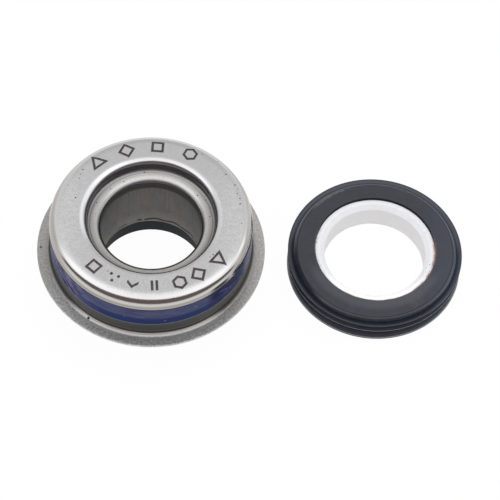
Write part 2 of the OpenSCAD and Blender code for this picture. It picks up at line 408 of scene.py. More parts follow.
def steelOfCase():
    material, board = newMaterial("drawnSteel")
    spot = board.place()
    x, y, z = board.split(spot)
    r = x.calc("SQRT", x * x + y * y)
    ringX, ringY = x / r, y / r
    size = caseParts
    wallR, boreR, recessR = size["wallR"], size["boreR"], size["recessR"]
    recessZ = caseTop - size["recessDepth"]

    # fine rings left by polishing, and long drawing streaks down the tube
    rings = board.noise(board.join(ringX * 1.4, ringY * 1.4, r * 5.0), 1.0, 4.0, 0.7)
    broad = board.noise(board.join(ringX * 3.0, ringY * 3.0, r * 1.3), 1.0, 2.0, 0.5)
    streaks = board.noise(board.join(ringX * 34.0, ringY * 34.0, z * 0.12), 1.0, 4.0, 0.75)
    bands = board.noise(board.join(ringX * 7.0, ringY * 7.0, z * 0.22), 1.0, 3.0, 0.6)
    grain = board.noise(spot, 5.0, 4.0, 0.8)
    speckle = board.noise(spot, 4.2, 2.0, 0.7)
    sand = board.noise(spot, 2.4, 3.0, 0.75)
    coarse = board.noise(spot, 2.2, 3.0, 0.7)
    cloud = board.noise(spot, 0.45, 3.0, 0.6)
    # where each stretch of the pressing lies
    inTube = r.rise(boreR + 0.45, boreR + 0.1) * z.rise(recessZ - 0.6, recessZ - 1.5)
    inMouth = r.rise(boreR + 0.7, boreR + 0.5) * z.rise(recessZ - 2.0, recessZ - 1.2) \
        * z.rise(recessZ + 0.4, recessZ + 0.1)
    inRecess = r.rise(recessR + 0.2, recessR - 0.1) * z.rise(recessZ + 1.2, recessZ + 0.2)
    onFlange = r.rise(wallR + 0.1, wallR + 0.6) * z.rise(1.4, 0.9)
    onWall = z.rise(bandFoot + 0.2, bandFoot - 0.2) * r.rise(wallR - 0.2, wallR - 0.1) \
        * r.rise(wallR + 0.6, wallR + 0.1) * z.rise(-0.2, 0.1)
    atRoot = r.rise(wallR, wallR + 0.12) * z.rise(0.8, 0.6)
    recessWall = r.rise(recessR - 0.65, recessR - 0.25) * r.rise(recessR + 0.57, recessR + 0.25) \
        * z.rise(recessZ - 0.25, recessZ - 0.1)
    deepMouthShade = r.rise(boreR + 0.3, boreR + 0.1) * z.rise(recessZ - 2.4, recessZ - 2.0) \
        * z.rise(recessZ - 0.9, recessZ - 1.3) * (0.4 + 0.6 * y.rise(-1.0, 6.0))
    atFront = y.rise(-11.5, -15.5)
    atSide = y.rise(-13.0, -8.0)
    bare = r.rise(wallR - 1.2, wallR - 0.7) * z.rise(bandTop - 0.1, bandTop)
    top = z.rise(caseTop - 0.35, caseTop - 0.1)
    angle = x.calc("ARCTAN2", y, x)
    brushed = board.noise(board.join(ringX * 30.0, ringY * 30.0, r * 0.7), 1.0, 3.0, 0.7)

    # the closed end
    colour = board.blend(rings, *caseLook["polished"])
    colour = board.blend(top * cloud.rise(0.3, 0.7) * 0.4, colour, shade(204, 203, 205))
    # painted light: the closed end is lighter towards its left and right sides
    colour = board.blend(top * abs(x).rise(10.0, 15.0) * 0.7, colour, shade(224, 224, 225))
    colour = board.blend(top * speckle.rise(0.40, 0.60) * 0.6, colour, shade(192, 191, 192))
    colour = board.blend(top * brushed.rise(0.42, 0.66) * 0.5, colour, shade(194, 193, 193))
    colour = board.blend(top * speckle.rise(0.34, 0.24) * 0.6, colour, shade(172, 169, 167))
    # painted shade: the closed end is darker towards the back
    colour = board.blend(top * y.rise(4.0, 13.0) * 0.4, colour, shade(192, 191, 191))
    # the bare strip between the sealant and the shoulder: painted shade darkens its lower part
    # (less at its very foot) and its sides, with light and dark scratches at the right
    bareShadeAndScratches = board.blend(z.rise(9.05, 8.7), shade(198, 196, 192), shade(158, 154, 146))
    bareShadeAndScratches = board.blend(z.rise(8.5, 8.25) * 0.8, bareShadeAndScratches, shade(170, 169, 171))
    bareShadeAndScratches = board.blend(atSide * 0.8, bareShadeAndScratches, shade(168, 164, 160))
    lines = board.noise(board.join(angle * 1.6, r * 5.0, z * 5.0), 1.0, 3.0, 0.7)
    right = x.rise(8.0, 14.0)
    bareShadeAndScratches = board.blend(lines.rise(0.52, 0.64) * right * 0.6, bareShadeAndScratches, shade(226, 225, 224))
    bareShadeAndScratches = board.blend(lines.rise(0.46, 0.36) * right * 0.5, bareShadeAndScratches, shade(126, 121, 117))
    # painted shade greys the strip at the right above the sealant, and the brush that laid the
    # sealant left a dark smear above it
    rightStripShade = angle.within(-0.88, -0.66, 0.1) * z.rise(bandTop + 0.5, bandTop + 0.2)
    bareShadeAndScratches = board.blend(rightStripShade * 0.7, bareShadeAndScratches, shade(92, 91, 92))
    # painted highlight: a pale patch on the strip at the front right
    bareShadeAndScratches = board.blend(angle.within(-0.58, -0.40, 0.08) * z.rise(9.0, 8.6), bareShadeAndScratches,
                         shade(238, 237, 239))
    colour = board.blend(bare, colour, bareShadeAndScratches)
    smear = angle.within(-0.86, -0.66, 0.06) * z.within(bandTop + 0.15, bandTop + 0.8, 0.12)
    colour = board.blend(smear, colour, shade(50, 50, 50))
    # painted reflection: a brown band follows the shoulder round its left side
    paintedShoulderReflection = x.rise(-13.0, -15.5) * z.within(9.3, 9.7, 0.15)
    colour = board.blend(paintedShoulderReflection * 0.5, colour, shade(170, 156, 150))
    # a painted highlight brightens the rim of the recess except at the front, most of all at the
    # left
    rimPaintedHighlight = r.within(recessR + 0.5, recessR + 1.15, 0.25) * top * y.rise(-8.0, -2.0)
    rimPaintedHighlight = rimPaintedHighlight * (0.28 + 0.7 * x.rise(-3.0, -9.0))
    colour = board.blend(rimPaintedHighlight, colour, shade(246, 248, 252))
    # the recess
    floorTone = board.blend(rings.rise(0.35, 0.65), *caseLook["floor"])
    # painted highlight where the floor bends over into the mouth
    floorTone = board.blend(r.rise(boreR + 1.5, boreR + 0.9), floorTone, shade(194, 193, 192))
    floorTone = board.blend(grain.rise(0.55, 0.72) * 0.4, floorTone, shade(158, 154, 151))
    floorTone = board.blend(speckle.rise(0.56, 0.70) * 0.5, floorTone, shade(120, 116, 113))
    # painted shade on the floor next to the recess wall, except at the back
    floorTone = board.blend(r.rise(recessR - 0.95, recessR - 0.25) * y.rise(8.5, 4.0), floorTone,
                            shade(108, 106, 106))
    colour = board.blend(inRecess, colour, floorTone)
    # painted shade darkens the wall of the recess
    colour = board.blend(recessWall, colour, shade(146, 145, 146))
    # painted shade: the mouth is darker at the front than at the back
    mouthShade = board.blend(y.rise(-4.0, 4.0), shade(114, 114, 115), shade(154, 154, 154))
    colour = board.blend(inMouth, colour, mouthShade)
    # the tube
    tube = board.blend(streaks.rise(0.30, 0.70) * z.rise(-3.5, 2.5), *caseLook["tube"])
    tube = board.blend(bands.rise(0.50, 0.62) * 0.6, tube, shade(150, 136, 124))
    tube = board.blend(bands.rise(0.42, 0.30) * 0.7, tube, shade(112, 116, 110))
    tube = board.blend(coarse.rise(0.52, 0.66) * 0.3, tube, shade(106, 106, 104))
    # paler towards its lower end, and darker at either side as painted shade
    tube = board.blend(z.rise(-0.5, -3.4) * 0.4, tube, shade(166, 164, 158))
    tube = board.blend(abs(x).rise(5.0, 9.0) * 0.5, tube, shade(106, 109, 114))
    # the torn lower end: painted shade in a wavy crease with a painted highlight above it, over a
    # paler lip
    wave = board.noise(board.join(ringX * 2.4, ringY * 2.4, 0.0), 1.0, 2.0, 0.5) * 2.4 + tubeFoot
    creaseShade = abs(z - wave).rise(0.34, 0.12) * x.rise(-8.0, -4.0) \
        * board.noise(board.join(ringX * 5.0, ringY * 5.0, 3.0), 1.0, 2.0, 0.5).rise(0.36, 0.48)
    tube = board.blend(abs(z - wave - 0.32).rise(0.2, 0.04) * 0.4, tube, shade(178, 176, 170))
    tube = board.blend(z.rise(tubeFoot + 0.5, tubeFoot + 0.25) * 0.7, tube, shade(184, 182, 176))
    tube = board.blend(creaseShade * 0.9, tube, shade(40, 39, 39))
    colour = board.blend(inTube, colour, tube)
    # painted shade: a dark ring where the mouth meets the tube, deepest at the back
    colour = board.blend(deepMouthShade, colour, shade(92, 92, 92))
    # flange and wall
    flange = board.blend(sand.rise(0.36, 0.64), *caseLook["flange"])
    flange = board.blend(speckle.rise(0.54, 0.68) * 0.3, flange, shade(112, 111, 110))
    # painted light and shade: the flange is darker to the right and more so to the left, lighter
    # by the root at the front, and shaded next to the wall elsewhere
    flange = board.blend(x.rise(8.0, 19.0) * 0.4, flange, shade(180, 178, 174))
    flange = board.blend(x.rise(-14.0, -19.0) * 0.5, flange, shade(146, 145, 144))
    flange = board.blend(r.rise(wallR + 1.4, wallR + 0.6) * atFront * 0.5, flange,
                         shade(214, 213, 211))
    flange = board.blend(r.rise(wallR + 1.1, wallR) * (1 - atFront) * 0.75, flange,
                         shade(104, 103, 101))
    colour = board.blend(onFlange, colour, flange)
    # painted shade: the wall below the sealant is dark, with a lighter line low down
    wall = board.blend(z.within(0.98, 1.32, 0.12), *caseLook["wall"])
    colour = board.blend(onWall * 0.96, colour, wall)
    # painted highlight on the root at the front, painted shade on it elsewhere
    rootLightAndShade = board.blend(atFront, shade(82, 81, 79), shade(206, 204, 201))
    colour = board.blend(atRoot * (1 - onFlange), colour, rootLightAndShade)

    marks = stampMask(board, spot) * z.rise(recessZ + 1.2, recessZ + 1.6)
    colour = board.blend(marks * (0.7 + 0.5 * coarse), colour, stampLook["tone"])
    pits = pitMask(board, spot, casePits)
    colour = board.blend(pits * 0.9, colour, caseLook["pit"])

    rough = 0.13 + rings * 0.05 + top * (0.05 + cloud * 0.06) - bare * 0.03 + inRecess * 0.05 \
        + inTube * 0.34 + onFlange * (0.20 + grain * 0.12) + marks * 0.3 + pits * 0.3 \
        + inMouth * 0.08 + onWall * 0.18 + atRoot * (1 - onFlange) * 0.16 + recessWall * 0.16
    polished = rings * (1 - inTube) * (1 - onFlange)
    # the floor of the recess falls away a little towards the tube
    normal = board.bump(r.rise(boreR + 0.5, recessR - 0.1), 0.34)
    normal = board.bump(polished + broad * 0.5, 0.0035, normal)
    normal = board.bump((speckle + brushed * 0.5) * top, 0.008, normal)
    normal = board.bump(streaks * inTube, 0.02, normal)
    normal = board.bump((sand + speckle) * onFlange, 0.020, normal)
    normal = board.bump(1 - marks, stampLook["depth"], normal)
    normal = board.bump(1 - pits, 0.05, normal)
    board.finish(colour=colour, metal=1.0, rough=rough, normal=normal)
    return material


def buildCase():
    p = caseParts
    t = p["sheet"]
    recessZ = caseTop - p["recessDepth"]
    wallBand = p["wallR"] - p["bandRelief"]
    shoulderC = (p["wallR"] - p["shoulder"], caseTop - p["shoulder"])

    def onShoulder(height, inset):
        rise = height - shoulderC[1]
        return shoulderC[0] + math.sqrt(p["shoulder"] ** 2 - max(rise, 0.0) ** 2) - inset

    above = []      # the shoulder from the band's upper edge to the closed end
    first = math.asin((bandTop - shoulderC[1]) / p["shoulder"])
    for k in range(25):
        a = first + (math.pi / 2 - first) * k / 24
        above.append((shoulderC[0] + p["shoulder"] * math.cos(a),
                      shoulderC[1] + p["shoulder"] * math.sin(a), 0.0))
    outside = [(flangeR, 0.0, 0.08), (p["wallR"], 0.0, p["root"]),
               (p["wallR"], bandFoot, 0.0), (wallBand, bandFoot, 0.0),
               (wallBand, shoulderC[1], 0.0),
               (onShoulder(bandTop, p["bandRelief"]), bandTop, 0.0)] + above
    outside += [(r, caseTop, 0.0) for r in (15.3, 15.0, 14.6, 14.1, 13.6, 13.2, 12.95)]
    outside += [(p["recessR"], caseTop, p["rim"]), (p["recessR"], recessZ, p["cornerSoft"])]
    # the floor of the recess bends over into the tube in two arcs
    m = p["mouthSoft"]
    tilt = math.asin(1 - p["mouthReach"] / m)
    flat = p["boreR"] + p["mouthReach"] + p["dome"] * math.sin(tilt)
    for k in range(9):
        a = tilt * k / 8
        outside.append((flat - p["dome"] * math.sin(a),
                        recessZ - p["dome"] * (1 - math.cos(a)), 0.0))
    drop = recessZ - p["dome"] * (1 - math.cos(tilt))
    for k in range(1, 17):
        a = tilt + (math.pi / 2 - tilt) * k / 16
        outside.append((p["boreR"] + m * (1 - math.sin(a)),
                        drop - m * (math.cos(tilt) - math.cos(a)), 0.0))
    outside += [(p["boreR"], drop - m * math.cos(tilt) - 0.1, 0.0),
                (p["boreR"], tubeFoot + p["bevel"], 0.12), (p["boreR"] + t / 2, tubeFoot, 0.05)]
    inside = [(p["boreR"] + t, tubeFoot, 0.05), (p["boreR"] + t, recessZ - t, p["mouth"] - t),
              (p["recessR"] + t, recessZ - t, p["corner"] + t),
              (p["recessR"] + t, caseTop - t, p["rim"] - t),
              (p["wallR"] - t, caseTop - t, p["shoulder"] - t),
              (p["wallR"] - t, -t, p["root"] + t), (flangeR, -t, 0.08)]

    def pressed(r, z, angle):
        # the free end of the tube was torn off, not turned, so it runs in low waves
        share = max(0.0, min(1.0, (tubeFoot + p["lipTorn"] - z) / p["lipTorn"]))
        if share > 0 and r < p["boreR"] + t + 0.1 and z > tubeFoot + 0.02:
            wave = math.sin(5 * angle + 0.7) + 0.6 * math.sin(11 * angle + 2.0) \
                + 0.4 * math.sin(23 * angle)
            z += p["lipWave"] * share * wave
            r += 0.02 * share * math.sin(17 * angle)
            z = max(z, tubeFoot + 0.02)
        if z > recessZ + 1.2:
            z -= p["crown"] * min(1.0, ((r - p["crownR"]) / p["crownHalf"]) ** 2)
        return r, z

    piece = turned("drawnCase", rounded(outside + inside, 12), steps=320, warp=pressed)
    settle(piece, "case", "cartridge", steelOfCase())


buildCase()
print("case done")


# sealant band
bandLook = {
    "deep": shade(74, 79, 108),
    "navy": shade(52, 55, 90),
    "foot": shade(32, 47, 92),
    "below": 0.01,          # how far the coat stays below the wall beside it
    "under": 0.03,          # how far it reaches into the steel below
    # radius, angle, height, size
    "specks": [(18.1, -176.0, 5.2, 0.16), (18.1, -168.0, 4.4, 0.2), (18.1, -166.0, 6.5, 0.15),
               (18.1, -158.0, 5.0, 0.18), (18.1, -154.0, 6.1, 0.14), (18.1, -148.0, 4.6, 0.2)],
    "scuffs": [(18.1, -60.0, 6.4, 0.32), (18.1, -78.0, 4.3, 0.28), (18.1, -101.0, 5.1, 0.2)],
}


def sealantLook():
    material, board = newMaterial("blueSealant")
    spot = board.place()
    x, y, z = board.split(spot)
    r = x.calc("SQRT", x * x + y * y)
    flow = board.noise(board.join(x / r * 5.0, y / r * 5.0, z * 1.1), 1.0, 4.0, 0.65)
    fine = board.noise(spot, 3.2, 3.0, 0.6)
    # painted reflection: the upper coat is greyer where it mirrors the lit table, the lower strip
    # darker where it mirrors the flange and its shadow
    lower = (z + flow * 0.4).rise(bandFoot + 2.2, bandFoot + 1.7)
    colour = board.blend(flow.rise(0.40, 0.62) * 0.6, bandLook["deep"], bandLook["navy"])
    colour = board.blend(lower * 0.9, colour, bandLook["foot"])
    angle = x.calc("ARCTAN2", y, x)
    left = x.rise(-7.0, -13.0)
    # painted light: the coat is lighter at the left
    colour = board.blend(left * 0.6, colour, shade(92, 90, 128))
    # the coat is darker at the right, most of all along its top
    right = x.rise(10.4, 12.6)
    colour = board.blend(right * z.rise(bandFoot + 1.0, bandFoot + 2.6), colour,
                         shade(10, 12, 54))
    colour = board.blend(right * 0.4, colour, shade(28, 31, 72))
    # strokes of the brush, which came down to the right as it went round
    along, across = angle * 15.7 - z * 0.5, angle * 9.0 + z * 0.87
    stroke = board.noise(board.join(along * 0.4, across * 1.4, 0.0), 1.0, 2.0, 0.6)
    swept = left * y.rise(-1.0, -4.0)
    colour = board.blend(stroke.rise(0.53, 0.58) * swept * 0.9, colour, shade(8, 6, 44))
    colour = board.blend(stroke.rise(0.42, 0.34) * swept * 0.5, colour, shade(126, 126, 168))
    # painted reflections: light streaks across the right of the coat
    streak = board.noise(board.join(angle * 5.0, z * 1.9 + angle * 1.2, 2.0), 1.0, 3.0, 0.6)
    bright = streak.rise(0.56, 0.64) * right * z.rise(bandFoot + 3.6, bandFoot + 2.8)
    colour = board.blend(bright * 0.6, colour, shade(112, 116, 160))
    # painted reflection: the coat turns paler at its far right edge
    colour = board.blend(x.rise(16.6, 17.4) * 0.5, colour, shade(120, 122, 156))
    # a dark edge runs along its top
    colour = board.blend(z.rise(bandTop - 0.35, bandTop - 0.1) * 0.7, colour, shade(34, 34, 46))
    specks = pitMask(board, spot, bandLook["specks"])
    scuffs = pitMask(board, spot, bandLook["scuffs"])
    colour = board.blend(specks * 0.8, colour, shade(18, 18, 22))
    colour = board.blend(scuffs * 0.5, colour, shade(120, 126, 150))
    normal = board.bump(flow + fine * 0.15, 0.06)
    board.finish(colour=colour, rough=0.10 + fine * 0.06 + specks * 0.3, normal=normal, ior=1.3,
                 specular=0.035)
    return material


def buildBand():
    p = caseParts
    centre = (p["wallR"] - p["shoulder"], caseTop - p["shoulder"])
    skin, back = bandLook["below"], p["bandRelief"] + bandLook["under"]
    near = [(p["wallR"] - skin, bandFoot, 0.0)]
    far = [(p["wallR"] - back, bandFoot, 0.0)]
    rise = math.asin((bandTop - centre[1]) / p["shoulder"])
    for k in range(9):
        a = rise * k / 8
        r, z = centre[0] + p["shoulder"] * math.cos(a), centre[1] + p["shoulder"] * math.sin(a)
        near.append((r - skin, z, 0.0))
        far.append((r - back, z, 0.0))
    piece = turned("sealantBand", rounded(near + far[::-1]), steps=320)
    settle(piece, "sealant_band", "cartridge", sealantLook())


buildBand()
print("band done")


# spring seats
seatParts = {"sheet": 0.45, "bend": 0.3, "edge": 0.08, "root": 0.1,
             "retainerGrip": 10.9,      # radius that clamps the bellows on the tube
             "shellGrip": 12.8}         # radius that clamps the bellows on the carbon


def sheetSteel(name, warmth):
    material, board = newMaterial(name)
    spot = board.place()
    x, y, z = board.split(spot)
    r = x.calc("SQRT", x * x + y * y)
    rings = board.noise(board.join(x / r * 1.5, y / r * 1.5, r * 4.0 + z * 3.0), 1.0, 3.0, 0.6)
    grain = board.noise(spot, 5.0, 3.0, 0.7)
    colour = board.blend(rings, shade(200, 198, 195), shade(176, 174 - warmth, 172 - 2 * warmth))
    colour = board.blend(grain.rise(0.62, 0.75) * 0.4, colour, shade(120, 116, 112))
    board.finish(colour=colour, metal=1.0, rough=0.24 + rings * 0.12 + grain * 0.06,
                 normal=board.bump(rings + grain * 0.5, 0.006))
    return material


def buildSpringSeats():
    p = seatParts
    t = p["sheet"]
    outerR, foot, top = extent("bellows_retainer")
    grip = p["retainerGrip"]
    section = [(grip, top, p["bend"]), (outerR, top, p["edge"]), (outerR, top - t, p["edge"]),
               (grip + t, top - t, p["root"]), (grip + t, foot, p["edge"]),
               (grip, foot, p["edge"])]
    retainer = turned("bellowsRetainer", rounded(section))
    settle(retainer, "bellows_retainer", "cartridge",
           sheetSteel("retainerSteel", 2))

    outerR, foot, top = extent("drive_shell")
    grip = p["shellGrip"]
    section = [(grip, foot, p["bend"]), (outerR, foot, p["edge"]), (outerR, foot + t, p["edge"]),
               (grip + t, foot + t, p["root"]), (grip + t, top, p["edge"]), (grip, top, p["edge"])]
    shell = turned("driveShell", rounded(section))
    settle(shell, "drive_shell", "face", sheetSteel("shellSteel", 0))


buildSpringSeats()
print("spring seats done")


# coil spring
springParts = {"wire": 1.4, "turns": 5.5, "closeRoom": 0.05, "sides": 20, "perTurn": 72,
               "tones": (shade(196, 193, 189), shade(150, 147, 143))}


def springSteel():
    material, board = newMaterial("springSteel")
    spot = board.place()
    x, y, z = board.split(spot)
    r = x.calc("SQRT", x * x + y * y)
    lines = board.noise(board.join(x / r * 2.0, y / r * 2.0, z * 6.0 + r * 6.0), 1.0, 3.0, 0.7)
    cloud = board.noise(spot, 0.8, 3.0, 0.6)
    colour = board.blend(lines, *springParts["tones"])
    colour = board.blend(cloud.rise(0.5, 0.75) * 0.4, colour, shade(128, 118, 108))
    board.finish(colour=colour, metal=1.0, rough=0.22 + lines * 0.16,
                 normal=board.bump(lines, 0.008))
    return material


def buildSpring():
    p = springParts
    outerR, low, high = extent("coil_spring")
    half = p["wire"] / 2
    coilR = outerR - half
    closed = p["wire"] + p["closeRoom"]
    start, end = low + half / 2, high - half / 2
    gain = (end - start - 2 * closed) / (p["turns"] - 2)

    def wireHeight(turn):
        if turn < 1:
            return start + closed * turn
        if turn > p["turns"] - 1:
            return end - closed * (p["turns"] - turn)
        return start + closed + gain * (turn - 1)

    rings = int(p["turns"] * p["perTurn"])
    verts, faces = [], []
    for i in range(rings + 1):
        angle = 2 * math.pi * i / p["perTurn"]
        for k in range(p["sides"]):
            around = 2 * math.pi * k / p["sides"]
            r = coilR + half * math.cos(around)
            z = wireHeight(i / p["perTurn"]) + half * math.sin(around)
            z = max(low, min(high, z))      # both ends are ground flat
            verts.append((r * math.cos(angle), r * math.sin(angle), z))
    for i in range(rings):
        for k in range(p["sides"]):
            m = (k + 1) % p["sides"]
            a, b = i * p["sides"], (i + 1) * p["sides"]
            faces.append((a + k, b + k, b + m, a + m))
    faces.append(tuple(range(p["sides"])))
    faces.append(tuple(rings * p["sides"] + k for k in range(p["sides"] - 1, -1, -1)))
    piece = makeObject("coilSpring", verts, faces, 40)
    settle(piece, "coil_spring", "cartridge", springSteel())
    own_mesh(piece)


buildSpring()
print("spring done")


# rubber bellows
bellowsParts = {"tubeR": 9.55, "tubeGrip": 1.3, "tubeGripH": 4.2, "stemR": 11.65,
                "stemGrip": 1.1, "foldWall": 0.9, "swing": 1.2, "stemTop": -2.3,
                "tones": (shade(44, 45, 48), shade(60, 60, 62))}


def bellowsRubber():
    material, board = newMaterial("bellowsRubber")
    spot = board.place()
    grain = board.noise(spot, 4.0, 4.0, 0.7)
    dust = board.noise(spot, 1.1, 3.0, 0.6)
    colour = board.blend(dust.rise(0.4, 0.8), *bellowsParts["tones"])
    board.finish(colour=colour, rough=0.5 + grain * 0.2, normal=board.bump(grain, 0.015))
    return material


def buildBellows():
    p = bellowsParts
    _, foot, top = extent("rubber_bellows")
    outer = p["tubeR"] + p["tubeGrip"]
    gripFoot = top - p["tubeGripH"]
    stemOuter = p["stemR"] + p["stemGrip"]
    first = Vector((outer - p["foldWall"] / 2, gripFoot + p["foldWall"] / 2))
    last = Vector((stemOuter - p["foldWall"] / 2, p["stemTop"]))

    def line(t):
        swing = p["swing"] * math.sin(2 * math.pi * t) * math.sin(math.pi * t)
        return first + (last - first) * t + Vector((swing, 0.0))

    def side(offset, marks):
        points = []
        for t in marks:
            d = (line(t + 0.01) - line(t - 0.01)).normalized()
            point = line(t) + offset * Vector((-d.y, d.x))
            points.append((point.x, point.y, 0.0))
        return points

    marks = [0.05 + 0.9 * i / 40 for i in range(41)]
    section = [(p["tubeR"], top, 0.45), (outer, top, 0.15)]
    section += side(p["foldWall"] / 2, marks)
    section += [(stemOuter, p["stemTop"] - 0.35, 0.1), (stemOuter, foot, 0.15),
                (p["stemR"], foot, 0.15), (p["stemR"], p["stemTop"], 0.1)]
    section += side(-p["foldWall"] / 2, marks[::-1])
    section += [(p["tubeR"], gripFoot, 0.1)]
    piece = turned("rubberBellows", rounded(section), steps=192)
    settle(piece, "rubber_bellows", None, bellowsRubber())
    # the bellows belongs to no body and stays where it is built
    gripFoot / perMetre
    p["stemTop"] / perMetre
    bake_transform(piece)


buildBellows()
print("bellows done")


# carbon ring
carbonParts = {"boreR": 9.8, "noseR": 13.0, "noseH": 0.9, "bodyH": 3.8, "stemR": 11.6,
               "edge": 0.2, "tones": (shade(41, 45, 52), shade(33, 37, 44))}


def carbonLook():
    material, board = newMaterial("resinCarbon")
    spot = board.place()
    x, y, z = board.split(spot)
    r = x.calc("SQRT", x * x + y * y)
    turning = board.noise(board.join(x / r * 1.2, y / r * 1.2, r * 5.0 + z * 5.0), 1.0, 3.0, 0.6)
    grain = board.noise(spot, 6.0, 4.0, 0.75)
    low = extent("carbon_ring")[1]
    lapped = z.rise(low + 0.25, low + 0.05)
    colour = board.blend(grain, *carbonParts["tones"])
    colour = board.blend(grain.rise(0.62, 0.72) * 0.3, colour, shade(70, 72, 76))
    colour = board.blend(lapped * 0.5, colour, shade(66, 67, 70))
    board.finish(colour=colour, rough=0.42 + grain * 0.12 - lapped * 0.22, ior=1.33,
                 normal=board.bump(turning * 0.6 + grain * (1 - lapped * 0.8), 0.012))
    return material


def buildCarbon():
    p = carbonParts
    outer, face, top = extent("carbon_ring")
    e = p["edge"]
    step = face + p["noseH"]
    shelf = face + p["bodyH"]
    section = [(p["boreR"] + e, face, 0.05), (p["noseR"], face, 0.06), (p["noseR"], step, 0.1),
               (outer - e, step, 0.08), (outer, step + e, 0.08), (outer, shelf - e, 0.08),
               (outer - e, shelf, 0.08), (p["stemR"], shelf, 0.1), (p["stemR"], top - e, 0.08),
               (p["stemR"] - e, top, 0.08), (p["boreR"] + e, top, 0.08),
               (p["boreR"], top - e, 0.08), (p["boreR"], face + e, 0.08)]
    piece = turned("carbonRing", rounded(section, 6))
    settle(piece, "carbon_ring", "face", carbonLook())


buildCarbon()
print("carbon done")


# ceramic seat
seatX, seatY = middle("rubber_cup")
seatBase = extent("ceramic_ring")[1]
ceramicParts = {"boreR": 9.25, "chamfer": 0.85, "edge": 0.2,
                "tones": (shade(229, 230, 234), shade(225, 226, 230))}


def aluminaLook():
    material, board = newMaterial("whiteAlumina")
    spot = board.shift(board.place(), seatX, seatY, seatBase)
    x, y, z = board.split(spot)
    r = x.calc("SQRT", x * x + y * y)
    mottle = board.noise(spot, 1.6, 4.0, 0.6)
    grain = board.noise(spot, 9.0, 3.0, 0.7)
    top = extent("ceramic_ring")[2] - seatBase
    colour = board.blend(mottle.rise(0.35, 0.7), *ceramicParts["tones"])
    # the bore is greyer than the chamfer, and the front is lighter as a painted highlight
    colour = board.blend(z.rise(top - 0.6, top - 1.2), colour, shade(226, 226, 226))
    colour = board.blend(y.rise(-4.0, -8.0), colour, shade(247, 247, 248))
    # moulding wax has left a thin brown line beside the rubber
    line = r.within(10.66, 10.9, 0.06) * z.rise(top - 0.4, top - 0.1)
    stain = board.noise(board.join(x * 0.5, y * 0.5, 0.0), 1.0, 3.0, 0.6).rise(0.42, 0.6)
    colour = board.blend(line * stain * y.rise(6.0, 0.0) * 0.75, colour, shade(168, 116, 80))
    speck = pitMask(board, spot, [(10.3, -13.4, top, 0.14)])
    colour = board.blend(speck * 0.8, colour, shade(90, 84, 80))
    board.finish(colour=colour, rough=0.34 + grain * 0.1, normal=board.bump(grain, 0.003),
                 subsurface=0.12, scatter=0.0006)
    return material


def buildCeramic():
    p = ceramicParts
    outer, foot, top = extent("ceramic_ring")
    e = p["edge"]
    section = [(p["boreR"], foot, 0.1), (outer - e, foot, 0.1), (outer, foot + e, 0.1),
               (outer, top - e, 0.1), (outer - e, top, 0.1),
               (p["boreR"] + p["chamfer"], top, 0.12), (p["boreR"], top - p["chamfer"], 0.2)]
    piece = turned("ceramicRing", rounded(section, 8), (seatX, seatY))
    settle(piece, "ceramic_ring", "seat", aluminaLook())


buildCeramic()
print("ceramic done")


# rubber cup
cupParts = {
    "innerR": 13.55,
    "lipR": 10.875,
    "lipLean": 0.2,
    "lipSeat": 0.02,        # gap between the lip and the ceramic's back
    "rimIn": 1.65,          # how far the rim stands in from the ribs
    "rimSoft": 0.9,
    "roll": 0.17,           # how much the slope below the rim bulges
    "troughIn": 0.9,
    "troughDepth": 0.45,
    "ribDrop": 0.4,
    "ribPitch": 1.7,
    "ribDepth": 0.75,
    "ribShift": 0.2,        # the upper groove is wider and the lower one narrower by this
    "crest": 0.3,
    "foot": 0.2,
    "soft": 0.11,
    "tones": (shade(27, 32, 42), shade(34, 40, 52)),
}


